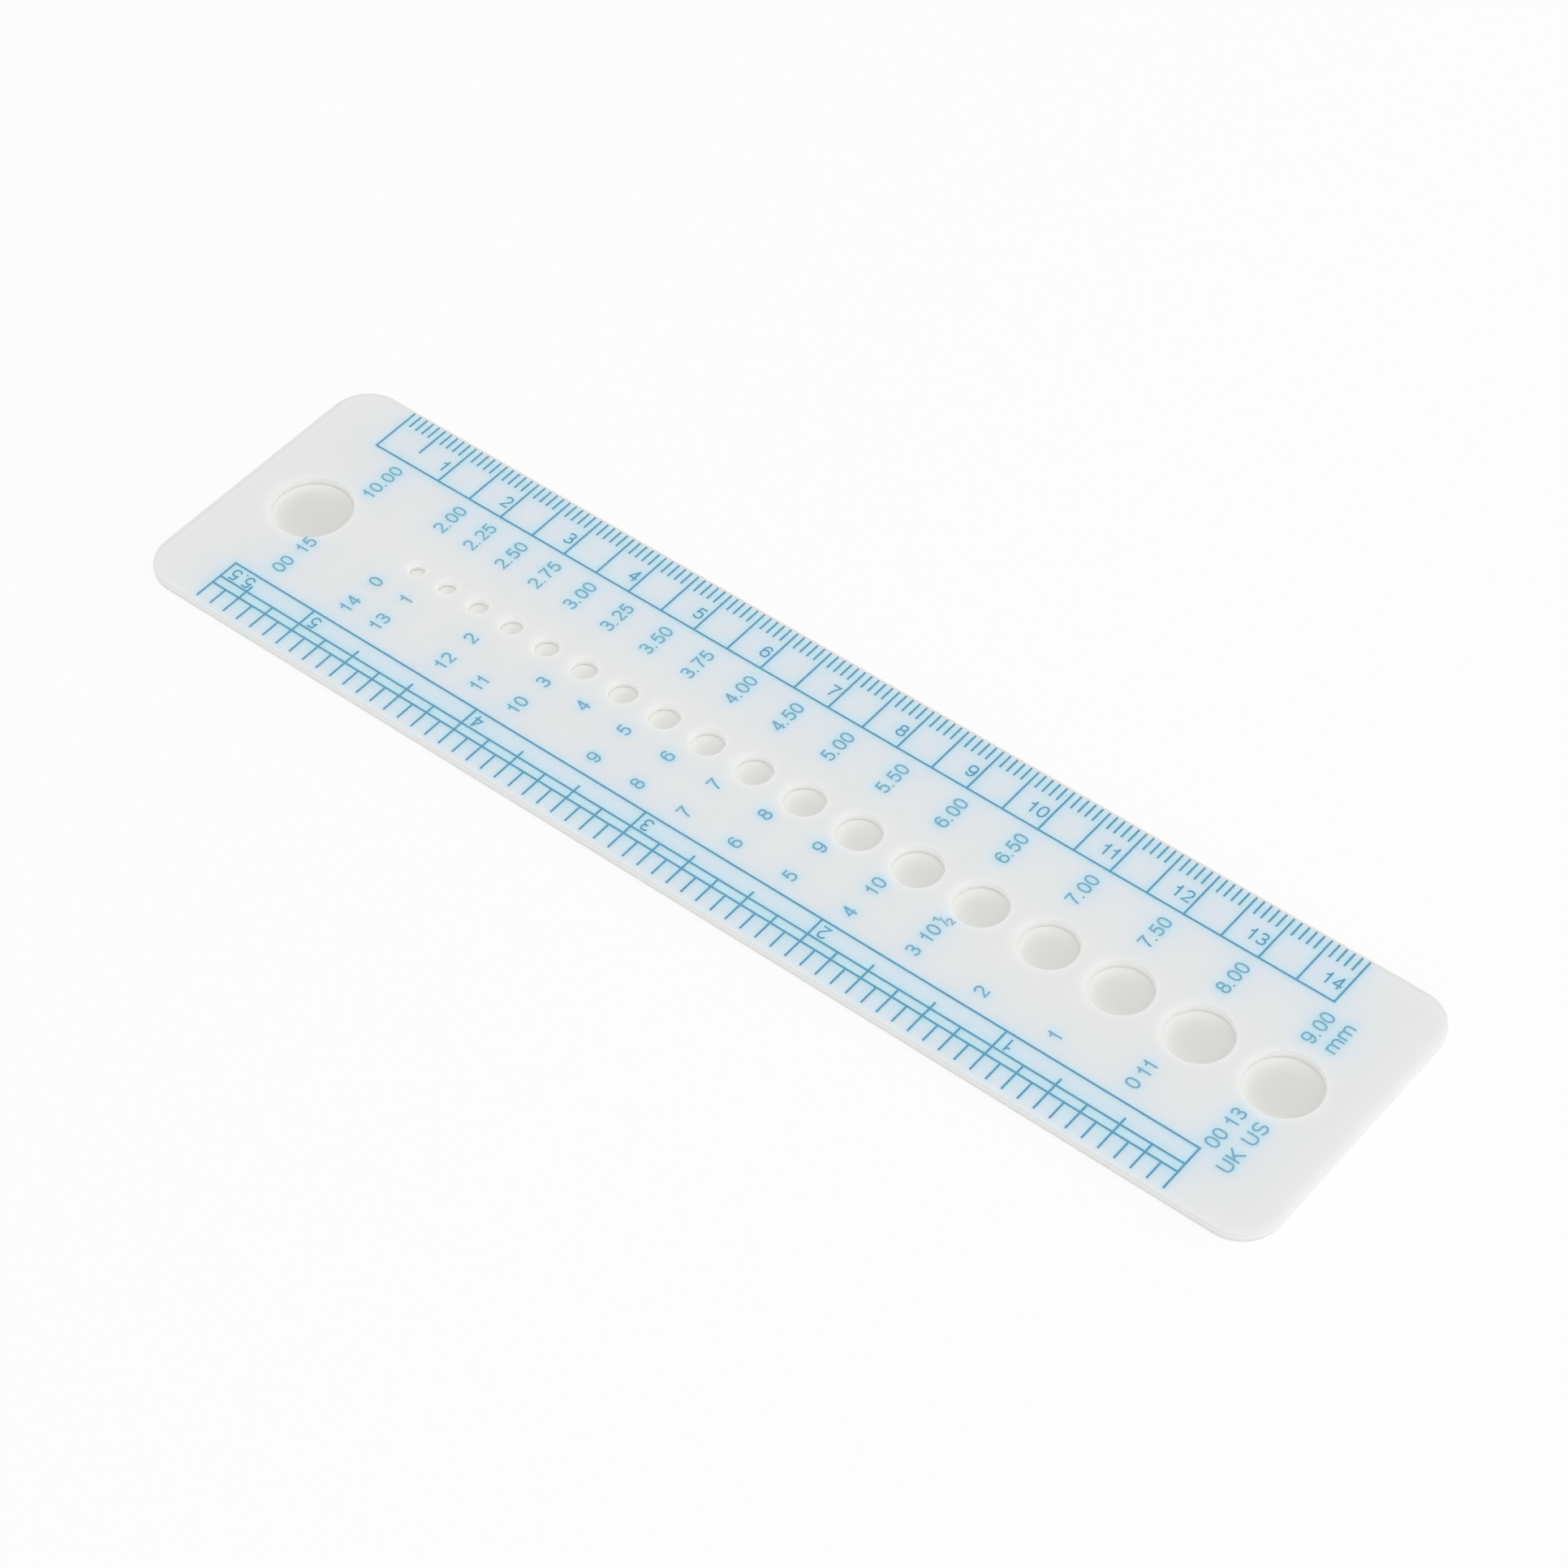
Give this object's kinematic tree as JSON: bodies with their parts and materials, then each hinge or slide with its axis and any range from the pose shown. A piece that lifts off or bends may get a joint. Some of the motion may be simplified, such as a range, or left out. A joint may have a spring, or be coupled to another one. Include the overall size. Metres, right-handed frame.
{
  "type": "knitting needle gauge",
  "caption": "Thin flat plastic plate with rounded corners and a row of graded round holes for measuring knitting needles, with a rule along each long edge.",
  "frame": {"origin": "middle of the underside, on the surface that the plate lies on", "axes": "+X along the plate, from the largest hole towards the graded row's large end; +Y across it, from the inch edge to the centimetre edge; +Z out of the printed face"},
  "size_m": [0.161, 0.04, 0.0012],
  "materials": {
    "milky_plastic": "satin, milky and slightly see-through",
    "blue_ink": "thin satin printed film"
  },
  "bodies": {
    "root": {"gauge_plate": "milky_plastic"}
  },
  "joints": []
}
